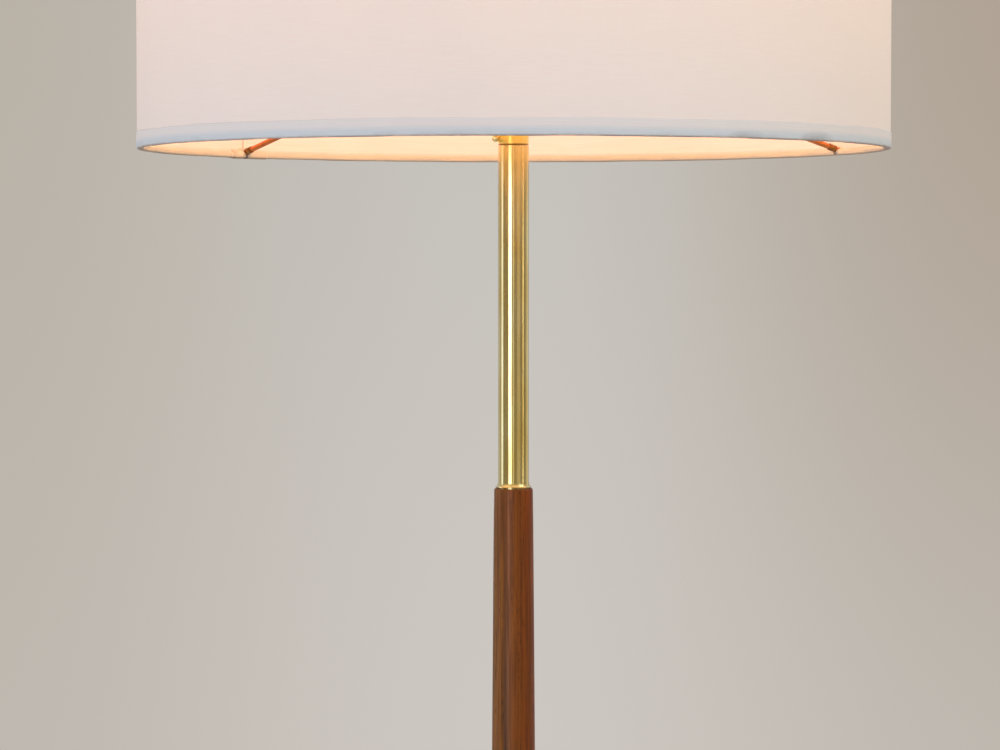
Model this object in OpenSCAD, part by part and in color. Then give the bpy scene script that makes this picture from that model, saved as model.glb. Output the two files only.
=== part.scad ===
// Tripod floor lamp: a drum shade on a telescoping brass riser, a turned column and three splayed legs.
// Millimetres. The origin is on the floor on the column's axis and +Z is up. The riser is drawn fully down.

/* [Overall] */
// Floor to the bottom edge of the shade
shade_rim_z = 1216; // [1010:2:1460]
// Outside diameter of the shade
shade_d = 458; // [380:2:550]
// Height of the shade
shade_h = 300; // [240:2:360]
// Distance of each foot from the column's axis
foot_circle_r = 212; // [176:2:256]

/* [Brass tubes] */
// Outside diameter of the fixed tube
tube_d = 19.05; // [15.85:0.05:22.9]
// Wall of the fixed tube
tube_wall = 1; // [0.8:0.05:1.2]
// Fixed tube standing out of the column, up to the seam under the collar
tube_show = 210.3; // [175:0.1:253]
// Seam under the collar, above the bottom edge of the shade
seam_rise = 3.2; // [2:0.1:4]
// Height of the clamp collar
collar_h = 9.5; // [8.4:0.1:11.4]

/* [Column and legs] */
// How much the column widens over each millimetre of its length
column_taper = 0.0155; // [0.012:0.0005:0.02]
// Thickest part of a leg
leg_d = 25.6; // [21.2:0.1:31]
// Lower end of a leg
leg_foot_d = 14.8; // [12.2:0.1:18]
// Floor to the underside of the hub
hub_z = 497.4; // [414:0.2:598]

/* [Shade frame] */
// Wire of the shade's rings
ring_wire_d = 3.1; // [2.6:0.1:3.7]
// Rod of the spider's arms
arm_d = 3.5; // [2.9:0.1:4.2]
// Rise of the arms from the bottom ring to the hub ring
arm_rise = 65.1; // [56:0.1:78]
// Direction of the first arm, the others a third of a turn apart
arm_angle = 22; // [0:1:119]
// Direction of the clamp screw
clamp_angle = 211; // [181:1:359]

/* [Hidden] */
$fn = 96;
slip = 0.05;           // radial clearance of what slides or turns
seat_gap = 0.1;        // gap under and over what turns on a seat
third = 120;           // angle between legs, and between arms
overcut = 1;           // how far a cut runs past the face it opens

// Levels
seam_z = shade_rim_z + seam_rise;
wood_top = seam_z - tube_show;

// Fixed tube, its collar and its foot
tube_r = tube_d / 2;
bore_r = tube_r - tube_wall;
flare_w = 1.63;        // how far the foot's cove spreads
flare_h = 4.3;
shadow_gap = 0.5;      // open line between the foot and the wood
edge = 0.3;            // small chamfer on turned brass
bush_wall = 0.5375;
riser_r = bore_r - slip - bush_wall;
riser_wall = 0.8;
collar_r = tube_r - 0.17;
spigot_h = 7;
plug_h = 13;

// Clamp screw: a ball on a thin neck
clamp_z = seam_z + 3.9;
clamp_r = 1.2;
clamp_tip = riser_r + 0.3;
boss_r = 2.15;
boss_from = riser_r + 1; // inside the collar's wall
boss_end = tube_r + 1.4;
ball_r = 2.1;
ball_x = tube_r + 3.5;
ball_neck_r = 1;

// Threaded lamp pipe and its fittings
pipe_r = 4.85;
pipe_bore_r = 3.25;
pipe_play = 0.1;
hex_r = 8.5;
nut_h = 6;
pipe_below_nut = 2;
pipe_in_plug = 10;
washer_r = 11;
washer_h = 1.6;

// Column
lip = 0.72;            // wood standing out past the tube's foot
corner_r = 1;
swell = 0.19;          // quick widening under the top edge
swell_length = 13;
swell_steps = 9;
swell_end = 60;
tenon_step = 1.05;
sleeve_h = 26;         // brass sleeve at the column's lower end
sleeve_floor = 3;
column_top_r = tube_r + flare_w + lip;
corner_steps = 6;
cove_steps = 8;

// Hub
hub_h = 33;
recess_r = 11.5;
recess_h = 23;
hub_wall = 3.2;
seat_depth = 13;
dome_h = 20;
hub_top_r = 24;
dome_steps = 10;
hub_nut_z = hub_z + recess_h - washer_h - nut_h;
cover_r = 17.5;
cover_h = 1.5;
cover_screw_circle = 14.5;
screw_r = 1.25;
screw_head_r = 2.3;
screw_head_h = 1.3;
screw_length = 8;
bushing_r = 4.6;
bushing_bore_r = 3.2;
bushing_flange_r = 6.4;
bushing_flange_h = 2;
bushing_below = 5;
bushing_above = 5;

// Legs, drawn along their own axis from the floor up
leg_foot_r = leg_foot_d / 2;
leg_bulge = leg_d / 2 - leg_foot_r;
leg_sweep = 125;       // degrees of a sine along the leg, so it is thickest below its top
leg_steps = 28;
cap_wall = 0.4;        // brass standing out past the wood
foot_cap_r = leg_foot_r + cap_wall;
leg_top_r = leg_foot_r + leg_bulge * sin(leg_sweep);
leg_cap_r = leg_top_r + cap_wall;
pocket_r = leg_cap_r + 0.1;
tenon_wall = 1.2;
foot_tenon_r = leg_foot_r - tenon_wall;
top_tenon_r = leg_top_r - tenon_wall;
leg_cap_h = 30;
cap_web = 3;
foot_cap_from = 9;
foot_cap_to = 40;
foot_web_from = 13;
foot_web_to = 16;
pad_stem_r = leg_foot_r - 2.6;
bolt_r = 4;
bolt_in_leg = 50;
bolt_in_hub = 13;
seat_r = recess_r + hub_wall + pocket_r;
seat_z = hub_z + seat_depth;
leg_tilt = atan((foot_circle_r - seat_r) / seat_z);
leg_length = norm([foot_circle_r - seat_r, seat_z]);
hub_r = seat_r + seat_depth * tan(leg_tilt) + pocket_r / cos(leg_tilt) + hub_wall;
leg_angles = [-90, 30, 150];

// Shade
cloth = 0.4;
lining = 0.6;
hem_up = 9.8;          // outer hem, bottom edge to fold
hem_lip = 1.2;         // hem glued up the lining above the ring
shade_r = shade_d / 2;
shade_top = shade_rim_z + shade_h;
cloth_r = shade_r - cloth;
lining_r = cloth_r - cloth;
ring_pocket_r = ring_wire_d / 2 + 0.05;
ring_circle_r = lining_r - lining - ring_pocket_r;
ring_up = cloth + ring_pocket_r;
hem_steps = 10;
slit_w = arm_d + 1;
slit_from = cloth + 0.2;

// Spider
arm_r = arm_d / 2;
arm_foot_up = 3.2;
arm_foot_r = ring_circle_r - 0.5;
arm_head_r = 22;
arm_head_in = 0.6;
arm_slope = atan(arm_rise / (arm_foot_r - arm_head_r));
arm_length = norm([arm_foot_r - arm_head_r, arm_rise]);
weld_r = arm_r + 0.45;
weld_length = 5;
weld_gap = 2.6;
ring_z = shade_rim_z + arm_foot_up + arm_rise;
hub_ring_r = 24;
hub_ring_h = 4;

// Socket, drawn up from the hub ring's level
shell_r = 19;
shell_wall = 0.8;
shell_bottom = ring_z - 25.3;
shell_top = ring_z + 15.7;
seat_flange_r = 21.8;
seat_flange_h = 1.5;
nut_r = 22.5;
shade_nut_h = 6;
nut_grips = 24;
grip_r = 0.7;
cap_wall_h = 5.5;      // cap's lip round the shell
cap_dome_h = 12.5;
cap_r = shell_r + shell_wall;
cap_bottom = shell_bottom - cap_dome_h;
cap_neck_r = tube_r + 0.1;
cap_steps = 8;
neck_h = 16.8;
neck_bottom = cap_bottom - neck_h;
neck_bore_h = 8.5;
nipple_above = 8;
locknut_h = 3;
locknut_r = 7.5;
sleeve_wall = 0.7;
sleeve_gap = 0.1;
body_r = 16.9;
body_flange_h = 3;
body_top = shell_bottom + 17;
body_flat = 13;
terminal_z = shell_bottom + 9;
terminal_r = 3.2;
terminal_h = 2.2;
terminal_shank_r = 1.5;
terminal_shank = 4;
contact_r = 3.5;
contact_h = 1.6;
base_r = 13;           // screw base of the bulb
screw_wall = 0.55;
screw_floor = 0.6;
screw_h = 22;
screw_hole_r = 6;

// Rotary switch
switch_z = terminal_z;
switch_angle = 322;
switch_shaft_r = 2;
switch_in = 8;
switch_collar_r = 3.4;
switch_collar_end = 23;
knob_from = 23.5;
knob_to = 36;
knob_r = 5.5;
knob_flutes = 14;
knob_flute_r = 0.8;
knob_chamfer = 1;
knob_skirt = 3;         // plain rim before the flutes
shaft_to = knob_to - 2;

// Bulb, drawn up from its contact
bulb_z = body_top + contact_h + seat_gap;
tip_r = 4.5;
tip_h = 1.5;
base_from = 5.5;
base_to = 25;
base_wall = 0.3;
base_foot_r = 11.5;
base_cone_h = 2;
glass_wall = 0.8;
glass_r = 30;
glass_centre = 80;
glass_neck_r = base_r - base_wall - 0.1;
glass_shoulder = [13.5, 27];
glass_from = 18;
glass_tangent = asin(glass_r / norm([glass_shoulder[0], glass_centre - glass_shoulder[1]]))
    - atan(glass_shoulder[0] / (glass_centre - glass_shoulder[1]));
glass_steps = 16;
stem_r = 5;
stem_to = 52;
lead_r = 0.4;
lead_spread = 9;
filament_z = 74;
filament_r = 0.7;

// ---- helpers ----

// Points of an arc round a centre, from one angle to another
function arc(centre, r, from, to, steps) =
    [for (i = [0:steps]) let (a = from + (to - from) * i / steps) centre + r * [cos(a), sin(a)]];

// Radius of the column at a distance below its top
function column_r(down) = column_top_r + swell * (1 - exp(-down / swell_length)) + column_taper / 2 * down;

column_bottom = hub_z + hub_h + sleeve_floor;
sleeve_top = hub_z + hub_h + sleeve_h;
tenon_r = column_r(wood_top - sleeve_top) - tenon_step;

// Radius of a leg at a share of its length, foot to top
function leg_r(share) = leg_foot_r + leg_bulge * sin(leg_sweep * share);

// A round tube standing on a level
module tube(outer, inner, from, to) {
    translate([0, 0, from]) difference() {
        cylinder(r = outer, h = to - from);
        translate([0, 0, -overcut]) cylinder(r = inner, h = to - from + 2 * overcut);
    }
}

// A turned solid from a profile of [radius, height] points
module turned(points) {
    rotate_extrude() polygon(points);
}

// A hexagonal nut with a round hole
module hex_nut(across, hole, from, height) {
    translate([0, 0, from]) difference() {
        cylinder(r = across, h = height, $fn = 6);
        translate([0, 0, -overcut]) cylinder(r = hole, h = height + 2 * overcut);
    }
}

// Puts what is drawn up the Z axis onto a leg's axis
module on_leg(i) {
    rotate([0, 0, leg_angles[i]]) translate([foot_circle_r, 0, 0]) rotate([0, -leg_tilt, 0]) children();
}

// Points what is drawn up the Z axis outwards at a height and direction
module outwards(z, angle) {
    translate([0, 0, z]) rotate([0, 90, angle]) children();
}

// Repeats what is drawn up the Z axis at the three cover screws, between the legs
module at_cover_screws(z) {
    for (angle = leg_angles) rotate([0, 0, angle + third / 2])
        translate([cover_screw_circle, 0, z]) children();
}

// ---- feet and legs ----

module foot_pad(i) {
    color("#1d1c1b") intersection() {
        on_leg(i) translate([0, 0, -leg_foot_r]) union() {
            cylinder(r = leg_foot_r, h = leg_foot_r + foot_cap_from);
            cylinder(r = pad_stem_r, h = leg_foot_r + foot_web_from);
        }
        translate([-2 * foot_circle_r, -2 * foot_circle_r, 0])
            cube([4 * foot_circle_r, 4 * foot_circle_r, foot_cap_to]);
    }
}

module foot_cap(i) {
    color("#b58a45") on_leg(i) turned([
        [pad_stem_r, foot_cap_from], [foot_cap_r - edge, foot_cap_from], [foot_cap_r, foot_cap_from + edge],
        [foot_cap_r, foot_cap_to - edge], [foot_cap_r - edge, foot_cap_to], [foot_tenon_r, foot_cap_to],
        [foot_tenon_r, foot_web_to], [0, foot_web_to], [0, foot_web_from], [pad_stem_r, foot_web_from]
    ]);
}

module leg(i) {
    shaft = leg_length - leg_cap_h - foot_cap_to;
    color("#5e3a26") on_leg(i) difference() {
        turned(concat(
            [[0, foot_web_to], [foot_tenon_r, foot_web_to], [foot_tenon_r, foot_cap_to]],
            [for (s = [0:leg_steps]) [leg_r(s / leg_steps), foot_cap_to + shaft * s / leg_steps]],
            [[top_tenon_r, leg_length - leg_cap_h], [top_tenon_r, leg_length - cap_web],
             [0, leg_length - cap_web]]
        ));
        translate([0, 0, leg_length - bolt_in_leg]) cylinder(r = bolt_r, h = bolt_in_leg);
    }
}

module leg_cap(i) {
    color("#b58a45") on_leg(i) turned([
        [top_tenon_r, leg_length - leg_cap_h], [leg_cap_r - edge, leg_length - leg_cap_h],
        [leg_cap_r, leg_length - leg_cap_h + edge], [leg_cap_r, leg_length], [bolt_r, leg_length],
        [bolt_r, leg_length - cap_web], [top_tenon_r, leg_length - cap_web]
    ]);
}

module leg_bolts() {
    color("#8f8f8c") for (i = [0:2]) on_leg(i) translate([0, 0, leg_length - bolt_in_leg])
        cylinder(r = bolt_r, h = bolt_in_leg + bolt_in_hub);
}

// ---- hub ----

module hub() {
    color("#b58a45") difference() {
        turned(concat(
            [[pipe_r + pipe_play, hub_z], [hub_r - edge, hub_z], [hub_r, hub_z + edge]],
            [for (a = [0:dome_steps]) let (t = 90 * a / dome_steps)
                [hub_top_r + (hub_r - hub_top_r) * cos(t), hub_z + hub_h - dome_h + dome_h * sin(t)]],
            [[pipe_r + pipe_play, hub_z + hub_h]]
        ));
        translate([0, 0, hub_z - overcut]) cylinder(r = recess_r, h = recess_h + overcut);
        for (i = [0:2]) on_leg(i) {
            translate([0, 0, leg_length - 3 * leg_cap_h]) cylinder(r = pocket_r, h = 3 * leg_cap_h);
            translate([0, 0, leg_length - overcut]) cylinder(r = bolt_r, h = bolt_in_hub + overcut);
        }
        at_cover_screws(hub_z - overcut) cylinder(r = screw_r, h = screw_length - cover_h + overcut);
    }
}

module hub_washer() {
    color("#8f8f8c") tube(washer_r, pipe_r + pipe_play, hub_z + recess_h - washer_h, hub_z + recess_h);
}

module hub_nut() {
    color("#8f8f8c") hex_nut(hex_r, pipe_r, hub_nut_z, nut_h);
}

module hub_cover() {
    color("#b58a45") difference() {
        translate([0, 0, hub_z - cover_h]) cylinder(r = cover_r, h = cover_h);
        translate([0, 0, hub_z - cover_h - overcut]) cylinder(r = bushing_r, h = cover_h + 2 * overcut);
        at_cover_screws(hub_z - cover_h - overcut) cylinder(r = screw_r, h = cover_h + 2 * overcut);
    }
}

module cover_screws() {
    color("#8f8f8c") at_cover_screws(hub_z - cover_h) {
        cylinder(r = screw_r, h = screw_length);
        difference() {
            translate([0, 0, -screw_head_h]) cylinder(r = screw_head_r, h = screw_head_h);
            translate([-screw_head_r, -screw_head_h / 4, -screw_head_h - overcut])
                cube([2 * screw_head_r, screw_head_h / 2, screw_head_h / 2 + overcut]);
        }
    }
}

module cord_bushing() {
    below = hub_z - cover_h - bushing_flange_h;
    color("#1d1c1b") turned([
        [bushing_bore_r, below - bushing_below], [bushing_r - edge, below - bushing_below],
        [bushing_r, below - bushing_below + edge], [bushing_r, below], [bushing_flange_r - edge, below],
        [bushing_flange_r, below + edge], [bushing_flange_r, hub_z - cover_h], [bushing_r, hub_z - cover_h],
        [bushing_r, hub_z + bushing_above], [bushing_bore_r, hub_z + bushing_above]
    ]);
}

// ---- column ----

module column_sleeve() {
    foot = hub_z + hub_h;
    outer = tenon_r + tenon_step + cap_wall / 2;
    color("#b58a45") turned(concat(
        [[pipe_r + pipe_play, foot], [hub_top_r - edge, foot], [hub_top_r, foot + edge]],
        arc([hub_top_r, foot + edge + hub_top_r - outer], hub_top_r - outer, 270, 180, dome_steps),
        [[outer, sleeve_top - edge], [outer - edge, sleeve_top], [tenon_r, sleeve_top],
         [tenon_r, foot + sleeve_floor], [pipe_r + pipe_play, foot + sleeve_floor]]
    ));
}

module column() {
    hole = pipe_r + pipe_play;
    color("#5e3a26") turned(concat(
        [[hole, column_bottom], [tenon_r, column_bottom], [tenon_r, sleeve_top],
         [column_r(wood_top - sleeve_top), sleeve_top]],
        [for (s = [swell_steps:-1:1]) let (down = corner_r + (swell_end - corner_r) * pow(s / swell_steps, 2))
            [column_r(down), wood_top - down]],
        arc([column_top_r - corner_r, wood_top - corner_r], corner_r, 0, 90, corner_steps),
        [[hole, wood_top]]
    ));
}

module lamp_pipe() {
    color("#b9b6ae") tube(pipe_r, pipe_bore_r, hub_nut_z - pipe_below_nut, wood_top + pipe_in_plug);
}

module foot_plug() {
    color("#b58a45") tube(bore_r, pipe_r, wood_top, wood_top + plug_h);
}

module fixed_tube() {
    flare_bottom = wood_top + shadow_gap;
    color("#b58a45") turned(concat(
        [[bore_r, wood_top], [tube_r, wood_top], [tube_r, flare_bottom],
         [tube_r + flare_w - edge, flare_bottom], [tube_r + flare_w, flare_bottom + edge]],
        [for (s = [0:cove_steps]) let (t = 90 * s / cove_steps)
            [tube_r + flare_w * (1 - sin(t)), flare_bottom + 2 * edge + (flare_h - 2 * edge) * (1 - cos(t))]],
        [[tube_r, seam_z - edge], [tube_r - edge, seam_z], [bore_r, seam_z]]
    ));
}

// ---- clamp ----

module clamp_collar() {
    color("#c79a52") difference() {
        union() {
            turned([
                [riser_r + slip, seam_z - spigot_h], [bore_r, seam_z - spigot_h], [bore_r, seam_z],
                [collar_r - edge, seam_z], [collar_r, seam_z + edge], [collar_r, seam_z + collar_h - edge],
                [collar_r - edge, seam_z + collar_h], [riser_r + slip, seam_z + collar_h]
            ]);
            outwards(clamp_z, clamp_angle) translate([0, 0, boss_from])
                cylinder(r = boss_r, h = boss_end - boss_from);
        }
        outwards(clamp_z, clamp_angle) cylinder(r = clamp_r + slip, h = boss_end + overcut);
    }
}

module clamp_screw() {
    color("#d3a65c") outwards(clamp_z, clamp_angle) {
        translate([0, 0, clamp_tip]) cylinder(r = clamp_r, h = boss_end - clamp_tip);
        translate([0, 0, clamp_tip]) cylinder(r = ball_neck_r, h = ball_x - clamp_tip);
        translate([0, 0, ball_x]) sphere(r = ball_r);
    }
}

// ---- riser and socket ----

module riser_tube() {
    color("#b58a45") tube(riser_r, riser_r - riser_wall, wood_top + 2 * plug_h, neck_bottom + neck_bore_h);
}

module guide_bush() {
    color("#e8e4da") tube(riser_r + bush_wall, riser_r, wood_top + 2 * plug_h, wood_top + 3 * plug_h);
}

module riser_neck() {
    inner_top = neck_bottom + neck_bore_h;
    color("#b58a45") turned([
        [riser_r, neck_bottom], [cap_neck_r - edge, neck_bottom], [cap_neck_r, neck_bottom + edge],
        [cap_neck_r, cap_bottom - edge], [cap_neck_r - edge, cap_bottom], [pipe_r, cap_bottom],
        [pipe_r, inner_top], [riser_r, inner_top]
    ]);
}

module socket_nipple() {
    color("#b9b6ae") tube(pipe_r, pipe_bore_r, neck_bottom + neck_bore_h, cap_bottom + nipple_above);
}

module nipple_locknut() {
    color("#8f8f8c") hex_nut(locknut_r, pipe_r, cap_bottom + shell_wall, locknut_h);
}

module socket_cap() {
    flat_r = cap_neck_r + 0.5;
    dome = cap_dome_h - shell_wall;
    color("#b58a45") turned(concat(
        [[pipe_r, cap_bottom], [flat_r, cap_bottom]],
        [for (s = [1:cap_steps]) let (t = 90 * s / cap_steps)
            [flat_r + (cap_r - flat_r) * sin(t), cap_bottom + dome * (1 - cos(t))]],
        [[cap_r, shell_bottom + cap_wall_h], [shell_r, shell_bottom + cap_wall_h]],
        [for (s = [cap_steps:-1:1]) let (t = 90 * s / cap_steps)
            [flat_r + (shell_r - flat_r) * sin(t), cap_bottom + shell_wall + dome * (1 - cos(t))]],
        [[flat_r, cap_bottom + shell_wall], [pipe_r, cap_bottom + shell_wall]]
    ));
}

module socket_shell() {
    color("#b58a45") difference() {
        tube(shell_r, shell_r - shell_wall, shell_bottom, shell_top);
        outwards(switch_z, switch_angle) cylinder(r = switch_collar_r, h = knob_to);
    }
}

module socket_sleeve() {
    outer = shell_r - shell_wall - sleeve_gap;
    color("#8c6a48") difference() {
        tube(outer, outer - sleeve_wall, shell_bottom + body_flange_h, shell_top - 2);
        outwards(switch_z, switch_angle) cylinder(r = switch_collar_r + sleeve_gap, h = knob_to);
    }
}

module socket_body() {
    color("#2a2522") difference() {
        union() {
            translate([0, 0, shell_bottom]) cylinder(r = shell_r - shell_wall, h = body_flange_h);
            translate([0, 0, shell_bottom]) cylinder(r = body_r, h = body_top - shell_bottom);
        }
        for (side = [-1, 1]) rotate([0, 0, switch_angle + 90 * side]) {
            translate([body_flat, -body_r, shell_bottom + body_flange_h])
                cube([body_r - body_flat + overcut, 2 * body_r, body_top]);
            outwards(terminal_z, 0) translate([0, 0, body_flat - terminal_shank])
                cylinder(r = terminal_shank_r, h = body_r);
        }
        outwards(switch_z, switch_angle) translate([0, 0, switch_in - seat_gap])
            cylinder(r = switch_shaft_r + slip, h = body_r);
    }
}

module screw_shell() {
    inner = base_r + slip;
    color("#b9b6ae") turned([
        [screw_hole_r, body_top], [inner + screw_wall, body_top], [inner + screw_wall, body_top + screw_h],
        [inner, body_top + screw_h], [inner, body_top + screw_floor], [screw_hole_r, body_top + screw_floor]
    ]);
}

module centre_contact() {
    color("#b58a45") turned(concat(
        [[0, body_top], [contact_r, body_top]],
        [for (s = [0:corner_steps]) let (t = 90 * s / corner_steps)
            [contact_r * cos(t), body_top + contact_h / 2 * (1 + sin(t))]]
    ));
}

module terminal_screws() {
    color("#b58a45") for (side = [-1, 1]) outwards(terminal_z, switch_angle + 90 * side)
        translate([0, 0, body_flat - terminal_shank]) {
            cylinder(r = terminal_shank_r, h = terminal_shank);
            translate([0, 0, terminal_shank]) difference() {
                cylinder(r = terminal_r, h = terminal_h);
                translate([-terminal_r, -terminal_h / 6, terminal_h / 2])
                    cube([2 * terminal_r, terminal_h / 3, terminal_h]);
            }
        }
}

module shade_seat() {
    top = ring_z - hub_ring_h / 2 - seat_gap;
    color("#b58a45") tube(seat_flange_r, shell_r, top - seat_flange_h, top);
}

module switch_collar() {
    color("#b58a45") outwards(switch_z, switch_angle)
        tube(switch_collar_r, switch_shaft_r + slip, body_r, switch_collar_end);
}

module switch_shaft() {
    color("#8f8f8c") outwards(switch_z, switch_angle)
        translate([0, 0, switch_in]) cylinder(r = switch_shaft_r, h = shaft_to - switch_in);
}

module switch_knob() {
    color("#1d1c1b") outwards(switch_z, switch_angle) difference() {
        turned([
            [0, knob_from], [knob_r - knob_chamfer, knob_from], [knob_r, knob_from + knob_chamfer],
            [knob_r, knob_to - knob_chamfer], [knob_r - knob_chamfer, knob_to], [0, knob_to]
        ]);
        translate([0, 0, switch_in]) cylinder(r = switch_shaft_r, h = shaft_to - switch_in);
        for (i = [0:knob_flutes - 1]) rotate([0, 0, 360 / knob_flutes * i])
            translate([knob_r + knob_flute_r / 3, 0, knob_from + knob_skirt])
                cylinder(r = knob_flute_r, h = knob_to, $fn = 24);
    }
}

// ---- bulb ----

module bulb_tip() {
    color("#b9b6ae") turned([
        [0, bulb_z], [tip_r - edge, bulb_z], [tip_r, bulb_z + edge],
        [tip_r, bulb_z + tip_h], [0, bulb_z + tip_h]
    ]);
}

module bulb_insulator() {
    color("#1d1c1b") turned([
        [0, bulb_z + tip_h], [tip_r + edge, bulb_z + tip_h], [base_foot_r, bulb_z + base_from],
        [base_foot_r, bulb_z + base_from + base_cone_h / 2], [0, bulb_z + base_from + base_cone_h / 2]
    ]);
}

module bulb_base() {
    inner = base_r - base_wall;
    cone_top = base_from + base_cone_h;
    color("#b9b6ae") translate([0, 0, bulb_z]) turned([
        [base_foot_r, base_from], [base_foot_r + base_wall, base_from], [base_r, cone_top], [base_r, base_to],
        [inner, base_to], [inner, cone_top + base_wall], [base_foot_r, base_from + base_cone_h / 2]
    ]);
}

// Profile of the glass, moved in by a distance
function glass_line(inset) = concat(
    [[glass_neck_r - inset, glass_from], [glass_neck_r - inset, base_to],
     [glass_shoulder[0] - inset, glass_shoulder[1] + inset / 2]],
    arc([0, glass_centre], glass_r - inset, -glass_tangent, 90, glass_steps)
);

module bulb_glass() {
    outer = glass_line(0);
    inner = glass_line(glass_wall);
    color("#f4efe6") translate([0, 0, bulb_z])
        turned(concat(outer, [for (i = [len(inner) - 1:-1:0]) inner[i]]));
}

module bulb_stem() {
    color("#f4efe6") translate([0, 0, bulb_z]) turned([
        [0, glass_from], [glass_neck_r - glass_wall, glass_from], [stem_r, glass_from + stem_r],
        [stem_r / 2, stem_to], [0, stem_to]
    ]);
}

module bulb_leads() {
    lead = norm([lead_spread, filament_z - stem_to]);
    lean = atan(lead_spread / (filament_z - stem_to));
    color("#b9b6ae") translate([0, 0, bulb_z]) union() {
        for (side = [-1, 1]) translate([side * lead_r, 0, stem_to]) rotate([0, side * lean, 0])
            cylinder(r = lead_r, h = lead, $fn = 16);
        translate([-lead_spread - 2 * lead_r, 0, filament_z]) rotate([0, 90, 0])
            cylinder(r = filament_r, h = 2 * lead_spread + 4 * lead_r, $fn = 16);
    }
}

// ---- shade ----

module shade_nut() {
    from = ring_z + hub_ring_h / 2 + seat_gap;
    color("#b58a45") difference() {
        tube(nut_r, shell_r + slip, from, from + shade_nut_h);
        for (i = [0:nut_grips - 1]) rotate([0, 0, 360 / nut_grips * i])
            translate([nut_r + grip_r / 3, 0, from - overcut])
                cylinder(r = grip_r, h = shade_nut_h + 2 * overcut, $fn = 24);
    }
}

module spider_ring() {
    color("#b58a45") tube(hub_ring_r, shell_r + slip, ring_z - hub_ring_h / 2, ring_z + hub_ring_h / 2);
}

// Puts what is drawn up the Z axis onto an arm's axis, from its foot at the bottom ring to its head
module on_arm(i) {
    rotate([0, 0, arm_angle + third * i]) translate([arm_foot_r, 0, shade_rim_z + arm_foot_up])
        rotate([0, arm_slope - 90, 0]) children();
}

module spider_arms() {
    color("#b87a44") for (i = [0:2]) on_arm(i) cylinder(r = arm_r, h = arm_length + arm_head_in);
}

module arm_welds() {
    color("#c79a52") for (i = [0:2]) on_arm(i) tube(weld_r, arm_r, weld_gap, weld_gap + weld_length);
}

module wire_ring(z) {
    color("#b9b6ae") rotate_extrude() translate([ring_circle_r, z]) circle(r = ring_wire_d / 2);
}

module bottom_ring() {
    wire_ring(shade_rim_z + ring_up);
}

module top_ring() {
    wire_ring(shade_top - ring_up);
}

module shade_lining() {
    color("#fffaf0") tube(lining_r, lining_r - lining, shade_rim_z + cloth, shade_top - cloth);
}

module shade_cloth() {
    color("#efe9df") tube(cloth_r, lining_r, shade_rim_z + cloth, shade_top - cloth);
}

// Hem folded from the outside under the edge and round the ring, drawn up from the edge
module hem() {
    inside = lining_r - lining;
    ring = [ring_circle_r, ring_up];
    fold = ring_up + ring_pocket_r;
    color("#f2f1ee") turned(concat(
        [[shade_r, 0], [shade_r, hem_up], [cloth_r, hem_up], [cloth_r, cloth]],
        arc(ring, ring_pocket_r, 270, 90, hem_steps),
        [[inside, fold], [inside, fold + cloth + hem_lip], [inside - cloth, fold + cloth + hem_lip],
         [inside - cloth, fold + cloth]],
        arc(ring, ring_pocket_r + cloth, 90, 270, hem_steps)
    ));
}

module bottom_hem() {
    difference() {
        translate([0, 0, shade_rim_z]) hem();
        for (i = [0:2]) rotate([0, 0, arm_angle + third * i])
            translate([ring_circle_r - 2 * ring_wire_d, -slit_w / 2, shade_rim_z + slit_from])
                cube([2 * ring_wire_d + ring_pocket_r + cloth, slit_w, hem_up]);
    }
}

module top_hem() {
    translate([0, 0, shade_top]) mirror([0, 0, 1]) hem();
}

// ---- nodes ----

foot_pad(0);  // foot_pad_1
foot_pad(1);  // foot_pad_2
foot_pad(2);  // foot_pad_3
foot_cap(0);  // foot_cap_1
foot_cap(1);  // foot_cap_2
foot_cap(2);  // foot_cap_3
leg(0);  // leg_1
leg(1);  // leg_2
leg(2);  // leg_3
leg_cap(0);  // leg_cap_1
leg_cap(1);  // leg_cap_2
leg_cap(2);  // leg_cap_3
leg_bolts();
hub();
hub_washer();
hub_nut();
hub_cover();
cover_screws();
cord_bushing();
column_sleeve();
column();
lamp_pipe();
foot_plug();
fixed_tube();
clamp_collar();
clamp_screw();
riser_tube();
guide_bush();
riser_neck();
socket_nipple();
nipple_locknut();
socket_cap();
socket_shell();
socket_sleeve();
socket_body();
screw_shell();
centre_contact();
terminal_screws();
switch_collar();
shade_seat();
switch_shaft();
switch_knob();
bulb_tip();
bulb_insulator();
bulb_base();
bulb_glass();
bulb_stem();
bulb_leads();
shade_nut();
spider_ring();
spider_arms();
arm_welds();
bottom_ring();
top_ring();
shade_lining();
shade_cloth();
bottom_hem();
top_hem();
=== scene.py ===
"""Tripod floor lamp with a lit drum shade: its fabric and finishes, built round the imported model.

Metres, with the floor at 0, +Z up and the column on the Z axis.
"""

import logging
import math
from dataclasses import dataclass
from enum import Enum
from typing import Any

import bmesh
import bpy
from mathutils import Matrix, Vector


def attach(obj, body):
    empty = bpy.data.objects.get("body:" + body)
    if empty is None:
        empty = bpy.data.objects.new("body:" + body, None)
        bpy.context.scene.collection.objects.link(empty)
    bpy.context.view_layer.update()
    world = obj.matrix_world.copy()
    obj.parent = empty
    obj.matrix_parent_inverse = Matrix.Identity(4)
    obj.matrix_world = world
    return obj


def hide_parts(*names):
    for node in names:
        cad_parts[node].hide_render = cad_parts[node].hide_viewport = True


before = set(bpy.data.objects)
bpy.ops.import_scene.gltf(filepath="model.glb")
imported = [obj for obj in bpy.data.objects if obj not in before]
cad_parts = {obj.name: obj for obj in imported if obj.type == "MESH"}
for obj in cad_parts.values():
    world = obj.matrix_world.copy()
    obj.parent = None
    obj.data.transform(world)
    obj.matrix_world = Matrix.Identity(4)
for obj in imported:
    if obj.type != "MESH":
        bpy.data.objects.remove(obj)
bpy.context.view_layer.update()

MM = 0.001
TURN = 2 * math.pi
Colour = tuple[float, float, float, float]
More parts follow.
